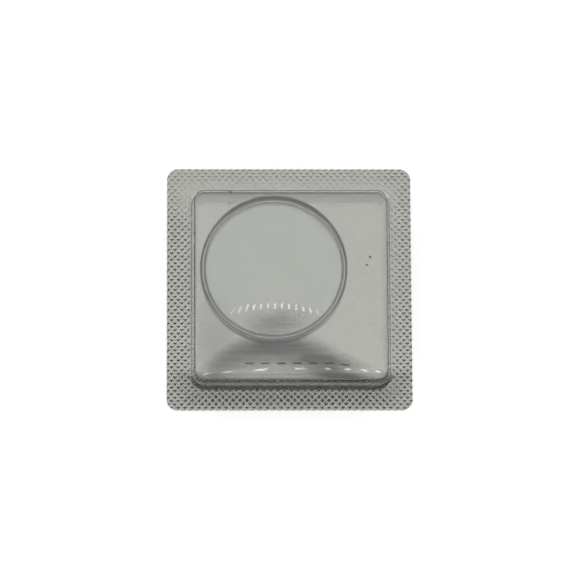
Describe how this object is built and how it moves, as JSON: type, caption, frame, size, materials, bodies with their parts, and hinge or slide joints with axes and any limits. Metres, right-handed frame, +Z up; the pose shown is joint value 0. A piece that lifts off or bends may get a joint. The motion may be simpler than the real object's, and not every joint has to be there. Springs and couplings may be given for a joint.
{
  "type": "watch crystal in blister pack",
  "caption": "Round low-domed watch crystal lying loose in a sealed square blister pack: clear formed tray on a knurled aluminium lidding foil.",
  "frame": {"origin": "middle of the pack's footprint, on the foil's back", "axes": "+Z up out of the pocket, +X to the right and +Y to the rear as the picture shows the pack, front edge towards -Y"},
  "size_m": [0.05, 0.0502, 0.0059],
  "materials": {
    "lidding_foil": "satin rolled foil with a fine cross grain and a diamond knurl pressed into the seal band",
    "clear_film": "clear glossy thermoformed film",
    "crystal_glass": "polished clear mineral glass"
  },
  "bodies": {
    "foil": {"lid_foil": "lidding_foil"},
    "tray": {"blister_tray": "clear_film"},
    "glass": {"crystal": "crystal_glass"}
  },
  "joints": [
    {"name": "tray_lift", "type": "slide", "parent": "foil", "child": "tray", "axis": [0, 0, 1], "range_m": [0, 0.03]},
    {"name": "crystal_slide", "type": "slide", "parent": "foil", "child": "glass", "axis": [0.6735, -0.7392, 0], "range_m": [0, 0.0117]}
  ]
}
